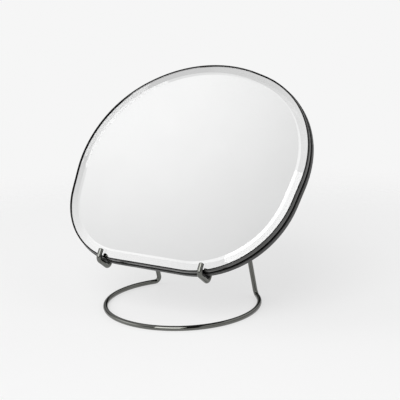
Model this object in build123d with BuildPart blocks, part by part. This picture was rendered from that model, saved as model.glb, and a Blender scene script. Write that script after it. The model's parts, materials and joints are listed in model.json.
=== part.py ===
# Table mirror: a bevelled mirror with a rounded, free outline, in the hooks of a bent wire stand
#
# Millimetres, +Z up. The origin is the centre of the stand's ring, on the table. Facing the mirror,
# +X is to the right and +Y is away, behind the mirror.

import os
from math import cos, pi, radians, sin, tan

from build123d import *

os.makedirs("parts", exist_ok=True)

# Stand: one wire, from one hook's tip through both legs and the ring to the other hook's tip
WIRE_D = 5.0
RING_R = 80.0  # centre line of the open ring on the table
FOOT_ANGLE = 51.8  # from the back of the ring to the end of its arc, on each side
FOOT_STRAIGHT = 0.3  # between the end of the arc and the bend where the wire turns up into the leg
FOOT_BEND_R = 5.0
TOP_BEND_R = 6.0
HOOK_BEND_R = 4.5
HOOK_HALF_SPACING = 57.2  # from the middle of the stand to each hook, arm and top corner
HOOK_Y = -67.5  # middle point between the front corners of the two hooks
HOOK_Z = 59.8
HOOK_TIP = 11.2  # front arm, from the corner to the cut end
ARM_LENGTH = 108.3  # rear arm, up to the corner where the leg meets it
TIP_CHAMFER = 0.4
FOOT_ROUNDS = 4  # the foot's corner and the turn there depend on each other, so a few rounds settle them

# Liner of each hook, on the side of the wire that faces the mirror
PAD_T = 0.8
PAD_HALF_ANGLE = 38.0  # of the wire's round that the liner covers, each side of the middle
PAD_FRONT = 5.5  # reach of the liner up the front arm and up the rear arm
PAD_REAR = 12.0
GLUE_GAP = 0.05

# Mirror: the lean from upright, and the room between it and each liner
LEAN = 36.0
SEAT_GAP = 0.3

# Outline of the glass opening, in the mirror's plane: corners and the radius that rounds each of them
OUTLINE = (
    ((148.5, 187.4), 102.9),
    ((-4.7, 241.9), 141.5),
    ((-123.1, 168.1), 116.5),
    ((-111.4, 7.3), 75.9),
    ((60.2, 1.2), 92.8),
    ((123.3, 37.3), 95.6),
)

# Rim: L section, seen as a narrow rounded line round the glass and as the front half of the side wall
RIM_WALL = 1.4
RIM_SHOULDER = 3.2  # depth over which the outside of the wall swells from its crest to its full width
RIM_CREST = 0.5  # flat of the crest, from the inner side to where the shoulder starts
FLANGE_T = 1.0
FLANGE_W = 5.0
SEAM_GAP = 0.25
SEAM_AT = 0.193  # place of the seam, as a share of the way round the outline from its first corner

# Plate that joins the rim's two ends under the flange
PLATE_LENGTH = 16.0
PLATE_WIDTH = 3.2
PLATE_T = 1.0
PLATE_INSET = 2.8  # from the opening's edge to the middle of the plate

# Glass
GLASS_T = 4.0
GLASS_PROUD = 1.0  # face of the glass in front of the rim's crest
GLASS_FIT = 0.3  # from the edge of the glass to the rim
BEVEL_W = 8.8  # from the opening's edge to the flat of the glass
BEVEL_DROP = 2.0
GRIND = 0.2

# Foam tape round the edge, and two foam strips under the middle of the glass
TAPE_T = 0.7
TAPE_W = 4.0
TAPE_INSET = 0.8  # from the opening's edge
STRIP_LENGTH = 120.0
STRIP_WIDTH = 14.0
STRIP_OFFSET = 42.0  # from the middle of the glass up and down to each strip

# Back: dish of sheet steel behind the rim, a shadow gap between the two, and felt on the dish
SHADOW_GAP = 2.9
SHELL_DEPTH = 6.0
SHELL_T = 1.0
SHELL_PROUD = 2.2  # outside of the dish, outside the glass opening
SHELL_EDGE_R = 1.6
FELT_T = 1.2
FELT_INSET = 3.0
BOARD_INSET = 0.6  # from the opening's edge, so that the shadow gap is deep
BOARD_FIT = 0.1  # round the seam's plate

# Screws
RIM_SCREWS = 8
RIM_SCREW_D = 1.6
RIM_SCREW_HEAD_D = 3.0
RIM_SCREW_LENGTH = 4.5
RIM_SCREW_INSET = 2.6  # from the opening's edge to the screws' circle
SHELL_SCREWS = 6
SHELL_SCREW_D = 2.6
SHELL_SCREW_HEAD_D = 4.4
SHELL_SCREW_LENGTH = 4.2
SHELL_SCREW_INSET = 14.0
SCREW_FIT = 0.05
COUNTERSINK = 90.0
SLOT_SPAN = 0.7  # length of the cross slot, as a share of the head
SLOT_WIDTH = 0.5
SLOT_DEPTH = 0.35

# Pads on the felt that the arms carry
BUMPER_D = 9.0
BUMPER_DROP = 20.0  # from the top corner of the arm down to the pad

# Directions: up along the mirror and back through it
up = Vector(0, sin(radians(LEAN)), cos(radians(LEAN)))
back = Vector(0, cos(radians(LEAN)), -sin(radians(LEAN)))

# The wire's centre line lies this far from every face of the mirror that it passes
wire_to_mirror = WIRE_D / 2 + PAD_T + SEAT_GAP

# Depths behind the rim's crest
glass_back = GLASS_T - GLASS_PROUD
flange_front = glass_back + TAPE_T
flange_back = flange_front + FLANGE_T
shell_front = flange_back + SHADOW_GAP
shell_back = shell_front + SHELL_DEPTH
shell_floor = shell_back - SHELL_T
felt_back = shell_back + FELT_T
hook_span = felt_back + 2 * wire_to_mirror

# Middle between the hooks' front corners, and the plane of the rim's crest, its X to the right and Y up
hook_mid = Vector(0, HOOK_Y, HOOK_Z)
crest_plane = Plane(origin=hook_mid + back * wire_to_mirror, x_dir=(1, 0, 0), z_dir=-back)


def at_depth(depth):
    """Plane parallel to the mirror, this far behind the rim's crest"""
    return crest_plane.offset(-depth)


def outline(grow):
    """Face inside the mirror's outline, grown outwards by a distance, on the XY plane"""
    corners = [corner for corner, _ in OUTLINE]
    radii = [radius for _, radius in OUTLINE]
    with BuildSketch() as face:
        with BuildLine():
            FilletPolyline(*corners, radius=radii, close=True)
        make_face()
        if grow:
            offset(amount=grow)
    return face.sketch


def lowest_y(face, x):
    """Height of the lower edge of a face at one X"""
    with BuildSketch() as column:
        add(face)
        with Locations((x, 0)):
            Rectangle(GLUE_GAP, 4 * RING_R, mode=Mode.INTERSECT)
    return column.sketch.bounding_box().min.Y


# Corners of the wire on each side: each hook carries the mirror's edge where it crosses the hook's X
seat = outline(max(RIM_WALL, SHELL_PROUD) + wire_to_mirror)


def wire_corners(side):
    """Tip, hook's front and rear corner, top corner, foot's corner and end of the ring, on one side"""
    x = side * HOOK_HALF_SPACING
    middle = hook_mid + Vector(x, 0, 0)
    front = middle + up * lowest_y(seat, x)
    tip = front + up * HOOK_TIP
    rear = front + back * hook_span
    top = middle + back * hook_span + up * ARM_LENGTH
    angle = radians(FOOT_ANGLE)
    ring_end = Vector(side * RING_R * sin(angle), RING_R * cos(angle), WIRE_D / 2)
    onward = Vector(-side * cos(angle), sin(angle), 0)
    foot = ring_end
    for _ in range(FOOT_ROUNDS):
        turn = radians(onward.get_angle(top - foot))
        foot = ring_end + onward * (FOOT_STRAIGHT + FOOT_BEND_R * tan(turn / 2))
    return tip, front, rear, top, foot, ring_end


bends = [HOOK_BEND_R, HOOK_BEND_R, TOP_BEND_R, FOOT_BEND_R]
left = wire_corners(-1)
right = wire_corners(1)

# Wire stand
with BuildPart() as wire_stand:
    with BuildLine() as wire_path:
        FilletPolyline(*left, radius=bends)
        ThreePointArc(left[-1], (0, -RING_R, WIRE_D / 2), right[-1])
        FilletPolyline(*reversed(right), radius=bends[::-1])
    with BuildSketch(Plane(origin=left[0], z_dir=-up)):
        Circle(WIRE_D / 2)
    sweep()
    tips = wire_stand.edges().filter_by(GeomType.CIRCLE).filter_by(
        lambda edge: abs(edge.radius - WIRE_D / 2) < GLUE_GAP
        and min((edge.arc_center - left[0]).length, (edge.arc_center - right[0]).length) < GLUE_GAP
    )
    chamfer(tips, TIP_CHAMFER)
wire_stand.part.label = "wire_stand"
export_step(wire_stand.part, "parts/wire_stand.step")
wire_length = sum(edge.length for edge in wire_path.edges())
wire_section = pi * WIRE_D**2 / 4
print("wire length", round(wire_length, 1))
print("wire volume over section times length", round(wire_stand.part.volume / (wire_length * wire_section), 4))


def hook_pad(corners, name):
    """Liner of one hook: part of a tube round the wire, on the side inside the hook"""
    _, front, rear, _, _, _ = corners
    start = front + up * PAD_FRONT
    inner = WIRE_D / 2 + GLUE_GAP
    outer = WIRE_D / 2 + PAD_T
    with BuildPart() as pad:
        with BuildLine():
            FilletPolyline(start, front, rear, rear + up * PAD_REAR, radius=[HOOK_BEND_R, HOOK_BEND_R])
        with BuildSketch(Plane(origin=start, x_dir=back, z_dir=-up)):
            with BuildLine():
                CenterArc((0, 0), outer, -PAD_HALF_ANGLE, 2 * PAD_HALF_ANGLE)
                CenterArc((0, 0), inner, -PAD_HALF_ANGLE, 2 * PAD_HALF_ANGLE)
                for angle in (-PAD_HALF_ANGLE, PAD_HALF_ANGLE):
                    direction = Vector(cos(radians(angle)), sin(radians(angle)))
                    Line(direction * inner, direction * outer)
            make_face()
        sweep()
    pad.part.label = name
    export_step(pad.part, f"parts/{name}.step")


hook_pad(left, "hook_pad_left")
hook_pad(right, "hook_pad_right")

# Rim: L section bent round the outline, cut by the seam and drilled for its screws
rim_path = crest_plane * outline(0).wire()


def section_plane(share):
    """Plane across the rim at a share of the way round: X out of the mirror, Y to the front"""
    along = rim_path % share
    return Plane(origin=rim_path @ share, x_dir=along.cross(-back), z_dir=-along)


def screw_planes(inset, shares, depth, facing):
    """Planes of screw heads on a path inside the outline, at one depth, facing the front or the back"""
    path = crest_plane * outline(-inset).wire()
    return [Plane(origin=(path @ share) + back * depth, z_dir=facing) for share in shares]


rim_shares = [(SEAM_AT + (i + 0.5) / RIM_SCREWS) % 1 for i in range(RIM_SCREWS)]
shell_shares = [i / SHELL_SCREWS for i in range(SHELL_SCREWS)]
rim_screw_planes = screw_planes(RIM_SCREW_INSET, rim_shares, flange_front, -back)
shell_screw_planes = screw_planes(SHELL_SCREW_INSET, shell_shares, shell_back, back)

with BuildPart() as rim_band:
    with BuildSketch(section_plane(0)):
        with BuildLine():
            Polyline((0, -flange_front), (0, 0), (RIM_CREST, 0))
            EllipticalCenterArc((RIM_CREST, -RIM_SHOULDER), RIM_WALL - RIM_CREST, RIM_SHOULDER, arc_size=90)
            Polyline(
                (RIM_WALL, -RIM_SHOULDER),
                (RIM_WALL, -flange_back),
                (-FLANGE_W, -flange_back),
                (-FLANGE_W, -flange_front),
                (0, -flange_front),
            )
        make_face()
    sweep(path=rim_path)
    with Locations(*rim_screw_planes):
        CounterSinkHole(
            RIM_SCREW_D / 2 + SCREW_FIT, RIM_SCREW_HEAD_D / 2 + SCREW_FIT, counter_sink_angle=COUNTERSINK
        )
    with BuildSketch(section_plane(SEAM_AT)):
        Rectangle(4 * FLANGE_W, 4 * flange_back)
    extrude(amount=SEAM_GAP / 2, both=True, mode=Mode.SUBTRACT)
rim_band.part.label = "rim_band"
export_step(rim_band.part, "parts/rim_band.step")

# Plate that joins the rim's ends, under the flange
seam_plane = section_plane(SEAM_AT)
plate_middle = seam_plane.origin - seam_plane.x_dir * PLATE_INSET + back * flange_back
plate_plane = Plane(origin=plate_middle, x_dir=seam_plane.z_dir, z_dir=back)
with BuildPart() as seam_plate:
    with BuildSketch(plate_plane):
        Rectangle(PLATE_LENGTH, PLATE_WIDTH)
    extrude(amount=PLATE_T)
seam_plate.part.label = "seam_plate"
export_step(seam_plate.part, "parts/seam_plate.step")


def screws(planes, shank_d, head_d, length, name):
    """Countersunk screws with a cross slot, their heads' faces on the planes"""
    head_height = (head_d - shank_d) / 2 / tan(radians(COUNTERSINK / 2))
    with BuildPart(mode=Mode.PRIVATE) as screw:
        with BuildSketch(Plane.XZ):
            with BuildLine():
                Polyline(
                    (0, 0),
                    (head_d / 2, 0),
                    (shank_d / 2, -head_height),
                    (shank_d / 2, shank_d / 2 - length),
                    (0, -length),
                    close=True,
                )
            make_face()
        revolve()
        with BuildSketch():
            with Locations(Rotation(0, 0, 0), Rotation(0, 0, 90)):
                Rectangle(head_d * SLOT_SPAN, SLOT_WIDTH)
        extrude(amount=-SLOT_DEPTH, mode=Mode.SUBTRACT)
    with BuildPart() as group:
        with Locations(*planes):
            add(screw.part)
    group.part.label = name
    export_step(group.part, f"parts/{name}.step")


screws(rim_screw_planes, RIM_SCREW_D, RIM_SCREW_HEAD_D, RIM_SCREW_LENGTH, "rim_screws")
screws(shell_screw_planes, SHELL_SCREW_D, SHELL_SCREW_HEAD_D, SHELL_SCREW_LENGTH, "shell_screws")

# Glass with its bevel
with BuildPart() as mirror_glass:
    with BuildSketch(at_depth(-GLASS_PROUD)):
        add(outline(-GLASS_FIT))
    extrude(amount=-GLASS_T)
    glass_faces = mirror_glass.faces().sort_by(Axis((0, 0, 0), back))
    chamfer(glass_faces[0].edges(), length=BEVEL_W - GLASS_FIT, length2=BEVEL_DROP, reference=glass_faces[0])
    rear_face = mirror_glass.faces().sort_by(Axis((0, 0, 0), back))[-1]
    chamfer(rear_face.edges(), length=GRIND)
mirror_glass.part.label = "mirror_glass"
export_step(mirror_glass.part, "parts/mirror_glass.step")

# Foam tape between the flange and the glass
with BuildPart() as glass_tape:
    with BuildSketch(at_depth(glass_back)):
        add(outline(-TAPE_INSET))
        add(outline(-TAPE_INSET - TAPE_W), mode=Mode.SUBTRACT)
    extrude(amount=-TAPE_T)
glass_tape.part.label = "glass_tape"
export_step(glass_tape.part, "parts/glass_tape.step")

# Foam strips that carry the middle of the glass on the board
glass_middle = outline(0).bounding_box().center()
with BuildPart() as foam_strips:
    with BuildSketch(at_depth(glass_back)):
        with Locations((glass_middle.X, glass_middle.Y)):
            with Locations((0, -STRIP_OFFSET), (0, STRIP_OFFSET)):
                Rectangle(STRIP_LENGTH, STRIP_WIDTH)
    extrude(amount=glass_back - flange_back)
foam_strips.part.label = "foam_strips"
export_step(foam_strips.part, "parts/foam_strips.step")

# Board that the rim, the seam's plate and the dish are fastened to
with BuildPart() as core_board:
    with BuildSketch(at_depth(flange_back)):
        add(outline(-BOARD_INSET))
    extrude(amount=flange_back - shell_floor)
    with BuildSketch(plate_plane):
        Rectangle(PLATE_LENGTH + 2 * BOARD_FIT, PLATE_WIDTH + 2 * BOARD_FIT)
    extrude(amount=PLATE_T + BOARD_FIT, mode=Mode.SUBTRACT)
    with Locations(*rim_screw_planes):
        Hole(RIM_SCREW_D / 2 + SCREW_FIT, depth=RIM_SCREW_LENGTH + SCREW_FIT)
    with Locations(*shell_screw_planes):
        Hole(SHELL_SCREW_D / 2 + SCREW_FIT, depth=SHELL_SCREW_LENGTH + SCREW_FIT)
core_board.part.label = "core_board"
export_step(core_board.part, "parts/core_board.step")

# Dish of sheet steel over the board
with BuildPart() as back_shell:
    with BuildSketch(at_depth(shell_front)):
        add(outline(SHELL_PROUD))
    extrude(amount=-SHELL_DEPTH)
    with BuildSketch(at_depth(shell_front)):
        add(outline(SHELL_PROUD - SHELL_T))
    extrude(amount=shell_front - shell_floor, mode=Mode.SUBTRACT)
    dish_back = back_shell.faces().sort_by(Axis((0, 0, 0), back))[-1]
    fillet(dish_back.edges(), SHELL_EDGE_R)
    with Locations(*shell_screw_planes):
        CounterSinkHole(
            SHELL_SCREW_D / 2 + SCREW_FIT, SHELL_SCREW_HEAD_D / 2 + SCREW_FIT, counter_sink_angle=COUNTERSINK
        )
back_shell.part.label = "back_shell"
export_step(back_shell.part, "parts/back_shell.step")

# Felt on the dish
with BuildPart() as back_felt:
    with BuildSketch(at_depth(shell_back)):
        add(outline(SHELL_PROUD - FELT_INSET))
    extrude(amount=-FELT_T)
back_felt.part.label = "back_felt"
export_step(back_felt.part, "parts/back_felt.step")

# Pads on the felt where the stand's arms carry the mirror
with BuildPart() as rear_bumpers:
    with BuildSketch(at_depth(felt_back)):
        with Locations(*[(side * HOOK_HALF_SPACING, ARM_LENGTH - BUMPER_DROP) for side in (-1, 1)]):
            Circle(BUMPER_D / 2)
    extrude(amount=-PAD_T)
rear_bumpers.part.label = "rear_bumpers"
export_step(rear_bumpers.part, "parts/rear_bumpers.step")
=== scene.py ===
# %% [markdown]
# # A bevelled table mirror on a bent wire stand
#
# The real object is one dark chrome wire, bent into a ring, two legs, two arms and two hooks, and a
# mirror that stands in the hooks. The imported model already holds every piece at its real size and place.
# This lesson dresses it: it gives each surface its finish, builds the glass as real glass over
# silvering, and lights it all in a plain pale studio.

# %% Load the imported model
import json
from math import cos, pi, radians, sin, tan

import bmesh
import bpy
from mathutils import Matrix, Vector


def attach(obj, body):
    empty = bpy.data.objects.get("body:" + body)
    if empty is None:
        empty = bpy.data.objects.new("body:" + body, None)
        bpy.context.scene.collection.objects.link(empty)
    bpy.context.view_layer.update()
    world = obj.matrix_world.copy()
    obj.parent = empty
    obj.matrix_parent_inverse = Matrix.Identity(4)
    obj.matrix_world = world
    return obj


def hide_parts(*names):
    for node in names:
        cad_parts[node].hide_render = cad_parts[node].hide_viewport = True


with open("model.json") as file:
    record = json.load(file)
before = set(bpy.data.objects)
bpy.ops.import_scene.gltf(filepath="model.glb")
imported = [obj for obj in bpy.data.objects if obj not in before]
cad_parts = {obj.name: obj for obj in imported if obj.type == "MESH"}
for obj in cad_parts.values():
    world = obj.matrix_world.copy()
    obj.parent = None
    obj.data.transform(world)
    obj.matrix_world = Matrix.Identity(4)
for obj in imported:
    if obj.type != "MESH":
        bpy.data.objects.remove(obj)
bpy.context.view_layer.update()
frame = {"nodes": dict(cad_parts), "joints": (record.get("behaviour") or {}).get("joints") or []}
nodes = frame["nodes"]

# %% [markdown]
# The mirror leans, and many things below are said in its own directions. They come from the packed
# record: the mirror lifts out of the hooks along its own plane, so that joint's axis is "up the mirror".
# The direction through the mirror, towards its back, is square to it and to the sideways direction.

# %% The mirror's own directions
lift = next(joint for joint in frame["joints"] if joint["name"] == "mirror_lift")
up_mirror = Vector(lift["axis"]).normalized()
sideways = Vector((1, 0, 0))
through = up_mirror.cross(sideways).normalized()
if through.y < 0:
    through = -through
print("up the mirror", up_mirror, "through it", through)

# %% [markdown]
# The camera repeats the photograph's view. It is far off with a long lens, turned to the right of the
# mirror's front, a little above it, and rolled by a degree and a half. A camera's own axes are right, up
# and back, so its place is worked out along those three, from the middle of the ring on the table.

# %% Camera
VIEW_AZIMUTH = radians(28.275)
VIEW_ELEVATION = radians(12.706)
VIEW_ROLL = radians(-1.628)
VIEW_DISTANCE = 1.0429
VIEW_RIGHT = 0.0182
VIEW_UP = 0.1086
LENS = 90
SENSOR = 36

towards_camera = Vector(
    (
        sin(VIEW_AZIMUTH) * cos(VIEW_ELEVATION),
        -cos(VIEW_AZIMUTH) * cos(VIEW_ELEVATION),
        sin(VIEW_ELEVATION),
    )
)
level_right = Vector((cos(VIEW_AZIMUTH), sin(VIEW_AZIMUTH), 0))
level_up = towards_camera.cross(level_right)
view_right = level_right * cos(VIEW_ROLL) + level_up * sin(VIEW_ROLL)
view_up = level_up * cos(VIEW_ROLL) - level_right * sin(VIEW_ROLL)

camera_data = bpy.data.cameras.new("camera")
camera_data.lens = LENS
camera_data.sensor_width = SENSOR
camera = bpy.data.objects.new("camera", camera_data)
bpy.context.scene.collection.objects.link(camera)
camera_place = view_right * VIEW_RIGHT + view_up * VIEW_UP + towards_camera * VIEW_DISTANCE
camera.matrix_world = Matrix.Translation(camera_place) @ Matrix(
    (view_right, view_up, towards_camera)
).transposed().to_4x4()
bpy.context.scene.camera = camera
bpy.context.scene.view_settings.view_transform = "Standard"
print("camera at", camera_place)

# %% [markdown]
# Every finish below is a small node tree, so a few helpers come first. One adds a node and fills its
# sockets, where a value is either a number or another node's output. One does a sum in the tree. The
# others start a material with an empty tree and join a shader to its output.

# %% Helpers for node trees
def add_node(tree, kind, settings=None, **sockets):
    """New node of a kind; settings are its properties, sockets its inputs by name"""
    node = tree.nodes.new(kind)
    for name, value in (settings or {}).items():
        setattr(node, name, value)
    for name, value in sockets.items():
        socket = node.inputs[int(name[1:])] if name[1:].isdigit() else node.inputs[name.replace("_", " ")]
        if isinstance(value, bpy.types.NodeSocket):
            tree.links.new(value, socket)
        else:
            socket.default_value = value
    return node


def maths(tree, operation, *values):
    """Output of one sum over numbers or other nodes' outputs"""
    sockets = {f"_{place}": value for place, value in enumerate(values)}
    return add_node(tree, "ShaderNodeMath", {"operation": operation}, **sockets).outputs[0]


def new_material(name):
    """Material with an empty tree and an output; returns it, its tree and the output's surface socket"""
    material = bpy.data.materials.new(name)
    material.use_nodes = True
    material.node_tree.nodes.clear()
    output = material.node_tree.nodes.new("ShaderNodeOutputMaterial")
    return material, material.node_tree, output.inputs["Surface"]


def finish_material(tree, surface, shader):
    """Joins a shader to the material's output"""
    tree.links.new(shader.outputs[0], surface)


# %% [markdown]
# No made surface is even. Handling leaves broad, soft smudges, and the process leaves a fine grain:
# drawn metal, powder paint, rubber, felt and board all have one. Both are wanted in many materials at
# different scales, so each is a node group with named inputs, made once.

# %% Shared effects: smudges and grain
SMUDGED = 0.5  # share of a surface that is smudged
SMUDGE_LEVEL = 0.85  # noise above this, less the share, is a smudge
SMUDGE_EDGE = 0.3  # how much more noise brings a smudge to its full strength


def new_group(name, inputs, outputs):
    """Node group with float inputs and outputs; returns its tree, input node and output node"""
    tree = bpy.data.node_groups.new(name, "ShaderNodeTree")
    for label, default in inputs.items():
        socket = tree.interface.new_socket(label, in_out="INPUT", socket_type="NodeSocketFloat")
        socket.default_value = default
    for label in outputs:
        tree.interface.new_socket(label, in_out="OUTPUT", socket_type="NodeSocketFloat")
    return tree, tree.nodes.new("NodeGroupInput"), tree.nodes.new("NodeGroupOutput")


def make_smudges():
    """Soft patches from 0 to 1; Size is a patch's size in metres and Cover the share that is smudged"""
    tree, given, out = new_group("smudges", {"Size": 0.03, "Cover": SMUDGED}, ["Mask"])
    place = add_node(tree, "ShaderNodeTexCoord")
    density = maths(tree, "DIVIDE", 1.0, given.outputs["Size"])
    noise = add_node(
        tree,
        "ShaderNodeTexNoise",
        Vector=place.outputs["Object"],
        Scale=density,
        Detail=5.0,
        Distortion=0.6,
    )
    low = maths(tree, "SUBTRACT", SMUDGE_LEVEL, given.outputs["Cover"])
    high = maths(tree, "ADD", low, SMUDGE_EDGE)
    mask = add_node(
        tree,
        "ShaderNodeMapRange",
        {"interpolation_type": "SMOOTHSTEP"},
        Value=noise.outputs[0],
        From_Min=low,
        From_Max=high,
    )
    tree.links.new(mask.outputs[0], out.inputs["Mask"])
    return tree


def make_grain():
    """Fine even noise from 0 to 1; Size is a grain's size in metres"""
    tree, given, out = new_group("grain", {"Size": 0.0005, "Detail": 3.0}, ["Height"])
    place = add_node(tree, "ShaderNodeTexCoord")
    density = maths(tree, "DIVIDE", 1.0, given.outputs["Size"])
    noise = add_node(
        tree,
        "ShaderNodeTexNoise",
        Vector=place.outputs["Object"],
        Scale=density,
        Detail=given.outputs["Detail"],
    )
    tree.links.new(noise.outputs[0], out.inputs["Height"])
    return tree


smudges = make_smudges()
grain = make_grain()
print("groups:", smudges.name, grain.name)


# %% Helpers that place the effects in a material
def smudge_mask(tree, size):
    """Output of the smudges group; size is a patch's size in metres"""
    return add_node(tree, "ShaderNodeGroup", {"node_tree": smudges}, Size=size, Cover=SMUDGED).outputs["Mask"]


def grain_height(tree, size, detail=3.0):
    """Output of the grain group; size is a grain's size in metres"""
    group = add_node(tree, "ShaderNodeGroup", {"node_tree": grain}, Size=size, Detail=detail)
    return group.outputs["Height"]


def between(tree, mask, low, high):
    """Number that goes from low to high as a mask goes from 0 to 1"""
    return add_node(tree, "ShaderNodeMapRange", Value=mask, To_Min=low, To_Max=high).outputs[0]


def two_colours(tree, mask, first, second):
    """Colour that goes from the first to the second as a mask goes from 0 to 1"""
    mix = add_node(tree, "ShaderNodeMix", {"data_type": "RGBA"})
    tree.links.new(mask, mix.inputs["Factor"])
    mix.inputs[6].default_value = (*first, 1)
    mix.inputs[7].default_value = (*second, 1)
    return mix.outputs[2]


def bump(tree, height, depth):
    """Normal that a height makes; depth in metres is what a height of 1 stands out"""
    return add_node(tree, "ShaderNodeBump", Height=height, Distance=depth, Strength=1.0).outputs["Normal"]


# %% [markdown]
# The wire is steel with a dark chrome finish: a mirror-like metal that gives back about a sixth of the
# light, with a faint green-grey cast. The rim has it a little darker and less glossy. The drawn metal
# keeps a slight grain under the plating, and fingers leave patches where the shine is softer. A thin
# near-black line of painted shade runs along the rim's crest beside the glass, fading out behind it.

# %% Dark chrome
# Painted shade: a near-black colour laid along the rim's crest beside the glass
CREST_SHADE = (0.012, 0.012, 0.012, 1)
CREST_SHADE_START = 0.0001  # behind the crest, where the painted shade begins to thin out
CREST_SHADE_REACH = 0.0004  # over this depth it is gone
DRAWN_GRAIN = 0.0006
DRAWN_DEPTH = 0.000002


def behind(tree, start, reach):
    """Output that goes from 0 to 1 over a reach through the mirror, from a start, both in metres"""
    place = add_node(tree, "ShaderNodeTexCoord").outputs["Object"]
    depth = add_node(tree, "ShaderNodeVectorMath", {"operation": "DOT_PRODUCT"}, _0=place, _1=through)
    return add_node(
        tree,
        "ShaderNodeMapRange",
        {"interpolation_type": "SMOOTHSTEP"},
        Value=depth.outputs["Value"],
        From_Min=start,
        From_Max=start + reach,
    ).outputs[0]


def dark_chrome(name, bright, dull, roughness, crest_shade=None):
    """Dark plated steel; roughness is for unsmudged and smudged metal, crest_shade the start and reach of a
    painted shade
    """
    material, tree, surface = new_material(name)
    patches = smudge_mask(tree, 0.018)
    drawn = grain_height(tree, DRAWN_GRAIN)
    colour = two_colours(tree, patches, bright, dull)
    # Painted shade along the crest: near black at the crest, the metal's own colour behind it
    if crest_shade:
        unshaded = behind(tree, *crest_shade)
        mix = add_node(tree, "ShaderNodeMix", {"data_type": "RGBA"}, _0=unshaded, _6=CREST_SHADE, _7=colour)
        colour = mix.outputs[2]
    shader = add_node(
        tree,
        "ShaderNodeBsdfPrincipled",
        Base_Color=colour,
        Metallic=1.0,
        Roughness=between(tree, patches, *roughness),
        Normal=bump(tree, drawn, DRAWN_DEPTH),
    )
    finish_material(tree, surface, shader)
    return material


wire_chrome = dark_chrome("wire_chrome", (0.165, 0.168, 0.158), (0.15, 0.152, 0.14), (0.04, 0.1))
crest = min(vert.co.dot(through) for vert in nodes["rim_band"].data.vertices)
rim_chrome = dark_chrome(
    "rim_chrome",
    (0.11, 0.11, 0.108),
    (0.09, 0.09, 0.088),
    (0.1, 0.2),
    crest_shade=(crest + CREST_SHADE_START, CREST_SHADE_REACH),
)

# %% [markdown]
# A mirror isn't a shiny sheet. Light goes into the glass, meets the silvering on its back and comes out
# again. Over the bevel the front is tilted and the silvering isn't, so the glass there works as a
# prism and shows another part of the room, which is why the strip looks darker than the face on one
# side and lighter on the other. Real glass over real silvering gives that for nothing.

# %% Glass and silvering
def polished_glass():
    """Clear float glass"""
    material, tree, surface = new_material("polished_glass")
    shader = add_node(
        tree,
        "ShaderNodeBsdfPrincipled",
        Base_Color=(0.985, 0.987, 0.986, 1),
        Roughness=0.0,
        IOR=1.52,
        Transmission_Weight=1.0,
    )
    finish_material(tree, surface, shader)
    return material


def silvering():
    """Silver on the back of the glass"""
    material, tree, surface = new_material("silvering")
    patches = smudge_mask(tree, 0.05)
    shader = add_node(
        tree,
        "ShaderNodeBsdfPrincipled",
        Base_Color=two_colours(tree, patches, (0.955, 0.955, 0.955), (0.945, 0.945, 0.945)),
        Metallic=1.0,
        Roughness=0.0,
    )
    finish_material(tree, surface, shader)
    return material


glass_slots = [polished_glass(), silvering()]

# %% [markdown]
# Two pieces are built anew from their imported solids: the glass and the felt. Both start from a mesh
# whose triangles are joined at their corners, and both end as an object that is smooth but for its
# creases.

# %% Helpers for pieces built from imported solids
WELD = 0.000001
FLAT = radians(0.05)  # faces that lie nearer than this to one plane are made one


def welded(name):
    """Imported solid's mesh with its triangles joined at their corners"""
    build = bmesh.new()
    build.from_mesh(nodes[name].data)
    bmesh.ops.remove_doubles(build, verts=build.verts, dist=WELD)
    return build


def merge_flat(build, **limits):
    """Makes one face of triangles that lie in one plane"""
    bmesh.ops.dissolve_limit(build, angle_limit=FLAT, verts=build.verts, edges=build.edges, **limits)


def new_piece(name, build, crease, materials):
    """Object made from a build, smooth but for edges sharper than the crease"""
    for face in build.faces:
        face.smooth = True
    mesh = bpy.data.meshes.new(name)
    build.to_mesh(mesh)
    build.free()
    for material in materials:
        mesh.materials.append(material)
    mesh.set_sharp_from_angle(angle=crease)
    piece = bpy.data.objects.new(name, mesh)
    bpy.context.scene.collection.objects.link(piece)
    return piece


# %% [markdown]
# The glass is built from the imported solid, as a piece of its own, because it needs two materials:
# polished front and bevel, and silvered back and edge. A face's direction says which it is. The edges
# between the face and the bevel stay crisp, as a polishing wheel leaves them.

# %% Glass
FRONT = 0.5  # how far a face of the glass has to look to the front to be left clear
GLASS_CREASE = radians(6)
SILVER_GAP = 0.00003  # between the silvered back and the foam that touches the glass


def glass_piece():
    """Mirror glass as one closed mesh with its materials by face"""
    build = welded("mirror_glass")
    bmesh.ops.recalc_face_normals(build, faces=build.faces)
    deepest = max(vert.co.dot(through) for vert in build.verts)
    for vert in build.verts:
        if vert.co.dot(through) > deepest - SILVER_GAP:
            vert.co -= through * SILVER_GAP
    for face in build.faces:
        face.material_index = int(face.normal.dot(through) > -FRONT)
    merge_flat(build, delimit={"MATERIAL"})
    return new_piece("bevelled_glass", build, GLASS_CREASE, glass_slots)


bevelled_glass = glass_piece()
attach(bevelled_glass, "mirror")
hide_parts("mirror_glass")
print("glass faces", len(bevelled_glass.data.polygons))

# %% [markdown]
# The back of the mirror is a shallow pressed dish in satin powder paint. Powder melts into a skin
# that is never quite flat, like fine orange peel, so it gets a soft, shallow bump.

# %% Powder paint
def powder_paint():
    """Dark grey satin powder coat"""
    material, tree, surface = new_material("powder_paint")
    patches = smudge_mask(tree, 0.04)
    peel = grain_height(tree, 0.0011, 2.0)
    shader = add_node(
        tree,
        "ShaderNodeBsdfPrincipled",
        Base_Color=two_colours(tree, patches, (0.018, 0.018, 0.018), (0.026, 0.026, 0.025)),
        Roughness=between(tree, patches, 0.34, 0.46),
        Normal=bump(tree, peel, 0.00003),
    )
    finish_material(tree, surface, shader)
    return material


# %% [markdown]
# Felt is pressed fibre. It has no gloss, its colour is mottled where fibres of several greys lie
# together, and its fuzz catches light at a shallow angle, which the sheen gives.

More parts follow.
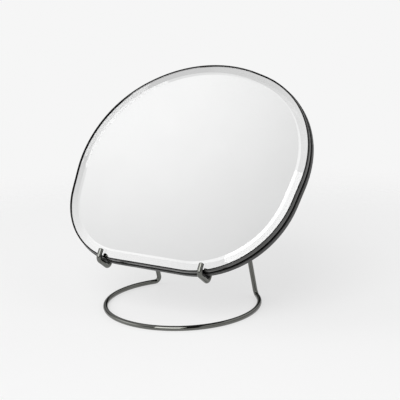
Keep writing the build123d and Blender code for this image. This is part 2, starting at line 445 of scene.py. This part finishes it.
# %% Felt
def felt():
    """Dark grey pressed felt"""
    material, tree, surface = new_material("felt")
    fibres = grain_height(tree, 0.0004, 6.0)
    clumps = smudge_mask(tree, 0.004)
    shader = add_node(
        tree,
        "ShaderNodeBsdfPrincipled",
        Base_Color=two_colours(tree, clumps, (0.028, 0.028, 0.03), (0.05, 0.05, 0.053)),
        Roughness=0.95,
        Sheen_Weight=0.35,
        Sheen_Roughness=0.5,
        Normal=bump(tree, fibres, 0.0003),
    )
    finish_material(tree, surface, shader)
    return material


# %% [markdown]
# The rest is seen only in the gap round the mirror, or with the mirror taken apart: black rubber
# liners and pads, white foam, fibre board coloured near black as painted shade, so that the gap
# round the mirror reads as shadow, and zinc-plated screws. Each still gets its own grain.

# %% Rubber, foam, board and zinc
def plain_finish(name, first, second, roughness, grain_size, grain_depth, metallic=0.0):
    """Matt or satin finish of two close colours, with a grain"""
    material, tree, surface = new_material(name)
    height = grain_height(tree, grain_size)
    shader = add_node(
        tree,
        "ShaderNodeBsdfPrincipled",
        Base_Color=two_colours(tree, smudge_mask(tree, 20 * grain_size), first, second),
        Metallic=metallic,
        Roughness=between(tree, height, *roughness),
        Normal=bump(tree, height, grain_depth),
    )
    finish_material(tree, surface, shader)
    return material


rubber = plain_finish("rubber", (0.012, 0.012, 0.012), (0.02, 0.02, 0.02), (0.5, 0.75), 0.0006, 0.00003)
foam = plain_finish("foam", (0.78, 0.78, 0.75), (0.7, 0.7, 0.67), (0.8, 0.95), 0.0005, 0.0001)
# The board's near black is painted shade: it makes the gap round the mirror read as shadow
board = plain_finish("board", (0.022, 0.02, 0.018), (0.034, 0.03, 0.026), (0.7, 0.9), 0.0007, 0.00005)
zinc = plain_finish("zinc", (0.6, 0.6, 0.58), (0.52, 0.52, 0.5), (0.25, 0.4), 0.0004, 0.000005, 1.0)

finishes = {
    "wire_stand": wire_chrome,
    "rim_band": rim_chrome,
    "back_shell": powder_paint(),
    "hook_pad_left": rubber,
    "hook_pad_right": rubber,
    "rear_bumpers": rubber,
    "glass_tape": foam,
    "foam_strips": foam,
    "core_board": board,
    "seam_plate": zinc,
    "rim_screws": zinc,
    "shell_screws": zinc,
}
for name, material in finishes.items():
    nodes[name].data.materials.clear()
    nodes[name].data.materials.append(material)
print("finished", len(finishes), "nodes")

# %% [markdown]
# The felt is die-cut sheet, glued to the dish. A press pinches its cut edge, so the edge is rounded
# over, and the pile stands a hair higher in some places than in others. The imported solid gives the
# outline; the edge is bevelled and the pile is raised on a copy of it.

# %% Felt sheet
FACING = 0.999  # a face whose normal has this share of a direction looks along it
FELT_CORNER = radians(60)  # edges sharper than this are the cut ones
FELT_EDGE = 0.0005
FELT_CREASE = radians(40)
PILE_RISE = 0.00008
PILE_WAVES = (900, 700)  # radians per metre across and up


def felt_sheet():
    """Felt with a rounded cut edge and a slightly uneven pile"""
    build = welded("back_felt")
    merge_flat(build)
    outer = [edge for edge in build.edges if edge.calc_face_angle(0) > FELT_CORNER]
    outer = [edge for edge in outer if all(face.normal.dot(through) > -FACING for face in edge.link_faces)]
    bmesh.ops.bevel(build, geom=outer, offset=FELT_EDGE, segments=4, affect="EDGES", profile=0.5)
    for vert in build.verts:
        if vert.normal.dot(through) > FACING:
            pile = sin(PILE_WAVES[0] * vert.co.x) * sin(PILE_WAVES[1] * vert.co.z)
            vert.co -= through * PILE_RISE * (1 + pile) / 2
    return new_piece("felt_sheet", build, FELT_CREASE, [felt()])


felt_back = felt_sheet()
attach(felt_back, "mirror")
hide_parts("back_felt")

# %% [markdown]
# The studio is a pale floor that melts into a pale background. Near the object the floor is real, so
# that it takes the shadow. In such a photograph much of the floor's brightness is light from all
# round that the object hardly blocks, and its shadow is faint. So a part of the floor's own pale colour
# is given to every ray that shows it, seen or mirrored, and the rest is matt and takes the shadow. It
# fades to nothing further off, where the background has the same colour.

# %% Floor
PALE = 0.921
FLOOR_COLOUR = 0.93
FLOOR_SHADED = 0.37  # share of the floor's look that is matt and takes the shadow
FLOOR_GLOW = 0.95  # tone of the rest
FLOOR_HALF = 3.0
FADE_START = 0.4
FADE_END = 0.8


def shows_background(tree):
    """Output that is 1 for rays by which the camera sees something, directly, mirrored or through glass"""
    rays = add_node(tree, "ShaderNodeLightPath")
    mirrored = maths(tree, "MAXIMUM", rays.outputs["Is Glossy Ray"], rays.outputs["Is Transmission Ray"])
    return maths(tree, "MAXIMUM", rays.outputs["Is Camera Ray"], mirrored)


def floor_material():
    """Pale floor, partly lit by its surroundings, that fades out with distance from the object"""
    material, tree, surface = new_material("floor")
    place = add_node(tree, "ShaderNodeTexCoord")
    distance = add_node(tree, "ShaderNodeVectorMath", {"operation": "LENGTH"}, _0=place.outputs["Object"])
    fade = add_node(
        tree,
        "ShaderNodeMapRange",
        {"interpolation_type": "SMOOTHSTEP"},
        Value=distance.outputs["Value"],
        From_Min=FADE_START,
        From_Max=FADE_END,
    )
    share = maths(tree, "MULTIPLY", shows_background(tree), 1 - FLOOR_SHADED)
    matt = add_node(tree, "ShaderNodeBsdfDiffuse", Color=(FLOOR_COLOUR,) * 3 + (1,))
    glow = add_node(tree, "ShaderNodeEmission", Color=(FLOOR_GLOW,) * 3 + (1,), Strength=1.0)
    ground = add_node(tree, "ShaderNodeMixShader", _0=share, _1=matt.outputs[0], _2=glow.outputs[0])
    clear = add_node(tree, "ShaderNodeBsdfTransparent")
    faded = add_node(
        tree, "ShaderNodeMixShader", _0=fade.outputs[0], _1=ground.outputs[0], _2=clear.outputs[0]
    )
    finish_material(tree, surface, faded)
    return material


floor_mesh = bpy.data.meshes.new("floor")
floor_corners = [(x * FLOOR_HALF, y * FLOOR_HALF, 0) for x, y in ((-1, -1), (1, -1), (1, 1), (-1, 1))]
floor_mesh.from_pydata(floor_corners, [], [(0, 1, 2, 3)])
floor_mesh.materials.append(floor_material())
floor = bpy.data.objects.new("floor", floor_mesh)
bpy.context.scene.collection.objects.link(floor)

# %% [markdown]
# A mirror and dark chrome show the room more than themselves, so the room matters. The photograph
# tells what it was. The face looks up to the left, at a soft light whose brightness falls off from its
# middle: that is the face's gentle gradient, and the bevel, which looks a little past it, is darker on
# the far side. The ring on the table shows a dark gap just right of the camera, and the legs show that
# the room is darker low down. So the world's tone is the product of three ramps, over the angle from
# the middle of that light, over how far a direction lies to the right and over its height, and the
# camera itself sees only the pale background.

# %% Room
SIDE_LIGHT = (-0.549, -0.308, 0.777)
AWAY = (
    (0, 1.0),
    (6, 0.99),
    (9, 0.92),
    (12, 0.82),
    (15, 0.73),
    (18, 0.68),
    (22, 0.65),
    (27, 0.6),
    (33, 0.55),
    (180, 0.5),
)  # degrees from the side light's middle, and the tone there
ACROSS = (
    (-1.0, 6.0),
    (-0.88, 4.0),
    (-0.78, 1.0),
    (-0.02, 1.0),
    (0.02, 0.06),
    (0.34, 0.06),
    (0.42, 1.7),
    (1.0, 1.7),
)  # cosine with the camera's right, and the tone there
HEIGHT = ((0.0, 0.4), (0.2, 0.45), (0.45, 1.0), (1.0, 1.0))  # sine of the height, and the tone there
BELOW = 0.85  # tone below the horizon
HORIZON_HALF = 0.01


def ramp(tree, value, stops):
    """Number by straight lines between stops, each of them a value and what it gives"""
    low, high = stops[0][0], stops[-1][0]
    top = max(number for _, number in stops)
    share = add_node(tree, "ShaderNodeMapRange", Value=value, From_Min=low, From_Max=high)
    node = add_node(tree, "ShaderNodeValToRGB", Fac=share.outputs[0])
    while len(node.color_ramp.elements) < len(stops):
        node.color_ramp.elements.new(0.5)
    for element, (at, number) in zip(node.color_ramp.elements, stops):
        element.position = (at - low) / (high - low)
        element.color = (number / top,) * 3 + (1,)
    return maths(tree, "MULTIPLY", node.outputs["Color"], top)


def room_world():
    """World whose tone depends on the direction, and which the camera sees as plain and pale"""
    world = bpy.data.worlds.new("room")
    world.use_nodes = True
    tree = world.node_tree
    tree.nodes.clear()
    heading = add_node(tree, "ShaderNodeTexCoord").outputs["Generated"]
    towards = add_node(tree, "ShaderNodeVectorMath", {"operation": "DOT_PRODUCT"}, _0=heading, _1=SIDE_LIGHT)
    angle = maths(tree, "ARCCOSINE", towards.outputs["Value"])
    degrees = maths(tree, "DEGREES", angle)
    across = add_node(tree, "ShaderNodeVectorMath", {"operation": "DOT_PRODUCT"}, _0=heading, _1=level_right)
    height = add_node(tree, "ShaderNodeSeparateXYZ", Vector=heading).outputs["Z"]
    upper = maths(
        tree, "MULTIPLY", ramp(tree, degrees, AWAY), ramp(tree, across.outputs["Value"], ACROSS)
    )
    upper = maths(tree, "MULTIPLY", upper, ramp(tree, height, HEIGHT))
    horizon = {"From_Min": -HORIZON_HALF, "From_Max": HORIZON_HALF}
    above = add_node(tree, "ShaderNodeMapRange", Value=height, **horizon).outputs[0]
    room = add_node(tree, "ShaderNodeMix", {"data_type": "FLOAT"}, _0=above, _2=BELOW, _3=upper)
    camera_ray = add_node(tree, "ShaderNodeLightPath").outputs["Is Camera Ray"]
    seen = add_node(
        tree, "ShaderNodeMix", {"data_type": "FLOAT"}, _0=camera_ray, _2=room.outputs[0], _3=PALE
    )
    background = add_node(tree, "ShaderNodeBackground", Color=(1, 1, 1, 1), Strength=seen.outputs[0])
    output = tree.nodes.new("ShaderNodeOutputWorld")
    tree.links.new(background.outputs[0], output.inputs["Surface"])
    return world


bpy.context.scene.world = room_world()

# %% [markdown]
# One large soft lamp stands in front, left of the camera, and looks down at the object. Its reflection
# is the bright line on the hooks and on the front of the ring. Its place is given as the photographer
# would say it: how far round from the camera, how far up and how far off.

# %% Lamp
LAMP_ROUND = radians(-21)
LAMP_ABOVE = radians(36)
LAMP_DISTANCE = 2.6
LAMP_HALF_WIDE = radians(18)
LAMP_HALF_HIGH = radians(21)
LAMP_RADIANCE = 4.2
AIM = Vector((0, 0, 0.08))

forward = Vector((sin(VIEW_AZIMUTH), -cos(VIEW_AZIMUTH), 0))
lamp_side = forward * cos(LAMP_ROUND) + level_right * sin(LAMP_ROUND)
lamp_towards = lamp_side * cos(LAMP_ABOVE) + Vector((0, 0, sin(LAMP_ABOVE)))
lamp_level = Vector((0, 0, 1)).cross(lamp_towards).normalized()
lamp_axes = Matrix((lamp_level, lamp_towards.cross(lamp_level), lamp_towards)).transposed().to_4x4()

lamp_data = bpy.data.lights.new("front_lamp", "AREA")
lamp_data.shape = "RECTANGLE"
lamp_data.size = 2 * LAMP_DISTANCE * tan(LAMP_HALF_WIDE)
lamp_data.size_y = 2 * LAMP_DISTANCE * tan(LAMP_HALF_HIGH)
lamp_data.energy = LAMP_RADIANCE * pi * lamp_data.size * lamp_data.size_y
lamp = bpy.data.objects.new("front_lamp", lamp_data)
bpy.context.scene.collection.objects.link(lamp)
lamp.matrix_world = Matrix.Translation(AIM + lamp_towards * LAMP_DISTANCE) @ lamp_axes
print("lamp", round(lamp_data.size, 2), "by", round(lamp_data.size_y, 2), "m,", round(lamp_data.energy), "W")
